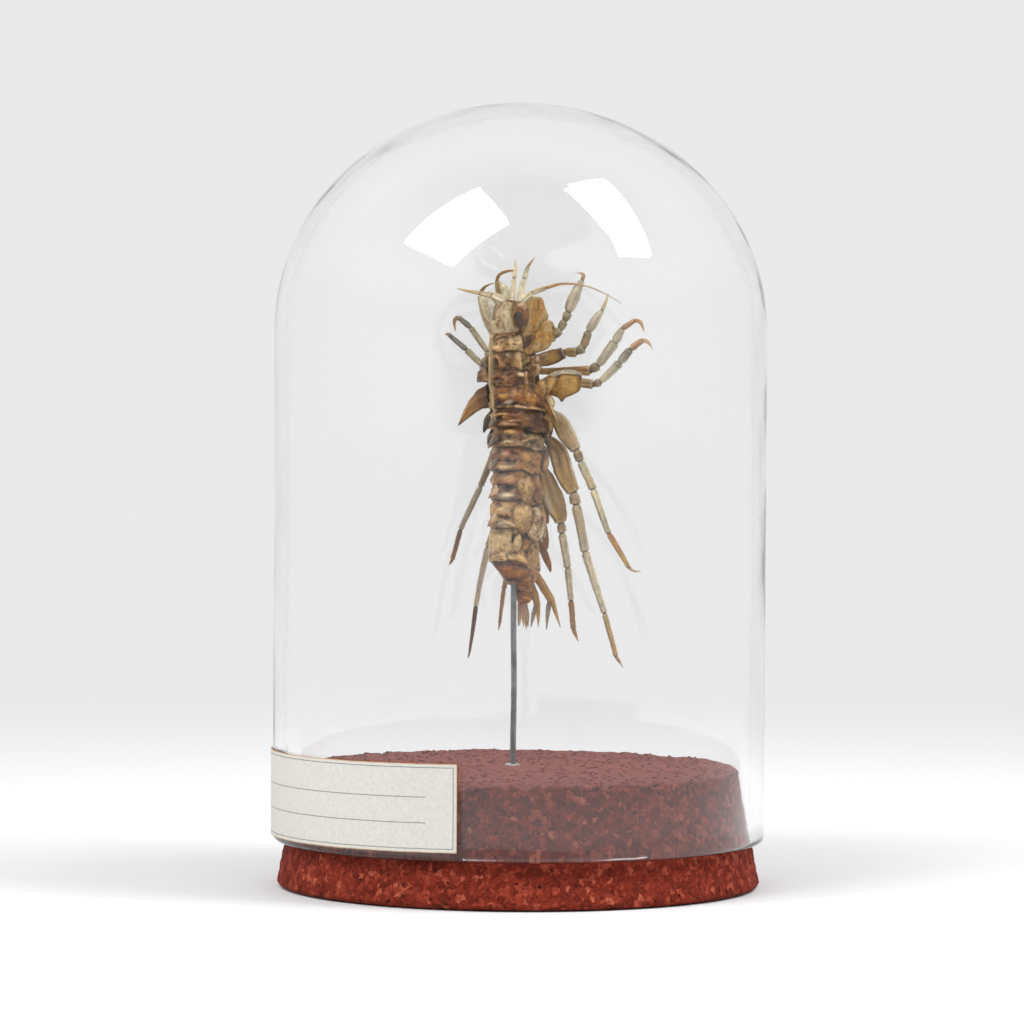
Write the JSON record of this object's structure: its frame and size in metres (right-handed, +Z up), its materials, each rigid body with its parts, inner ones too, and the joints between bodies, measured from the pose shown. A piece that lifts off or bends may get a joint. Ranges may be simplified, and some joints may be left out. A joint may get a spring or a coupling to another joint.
{
  "type": "amphipod in glass cloche",
  "caption": "Dried spiny amphipod held head up on a steel pin, under a clear glass dome that stands on a tapered cork base and carries a plain paper label.",
  "frame": {"origin": "middle of the cork base's underside", "axes": "+Z up along the dome's axis; -Y towards the viewer who sees the animal's back turned a little to its left; +X to that viewer's right"},
  "size_m": [0.0803, 0.08, 0.127],
  "materials": {
    "cork": "red-brown stained agglomerated cork, matt, with dark pores and paler granules",
    "glass": "clear blown glass with a fire-polished rim",
    "paper": "uncoated cream paper with a thin ruled frame",
    "steel": "drawn steel wire, satin grey",
    "shell": "dried chitin, amber to dark brown, mottled, low gloss",
    "leg_shell": "thin dried chitin, pale grey to amber, darker at the joints"
  },
  "bodies": {
    "root": {"antenna_1_left": "leg_shell", "antenna_1_right": "leg_shell", "antenna_2_left": "leg_shell", "antenna_2_right": "leg_shell", "cork_base": "cork", "glass_dome": "glass", "gnathopod_1_left": "leg_shell", "gnathopod_1_right": "leg_shell", "gnathopod_2_left": "leg_shell", "gnathopod_2_right": "leg_shell", "mounting_pin": "steel", "paper_label": "paper", "pereopod_3_left": "leg_shell", "pereopod_3_right": "leg_shell", "pereopod_4_left": "leg_shell", "pereopod_4_right": "leg_shell", "pereopod_5_left": "leg_shell", "pereopod_5_right": "leg_shell", "pereopod_6_left": "leg_shell", "pereopod_6_right": "leg_shell", "pereopod_7_left": "leg_shell", "pereopod_7_right": "leg_shell", "pleopod_1_left": "leg_shell", "pleopod_1_right": "leg_shell", "pleopod_2_left": "leg_shell", "pleopod_2_right": "leg_shell", "pleopod_3_left": "leg_shell", "pleopod_3_right": "leg_shell", "trunk": "shell", "uropod_1_left": "leg_shell", "uropod_1_right": "leg_shell", "uropod_2_left": "leg_shell", "uropod_2_right": "leg_shell"}
  },
  "joints": []
}
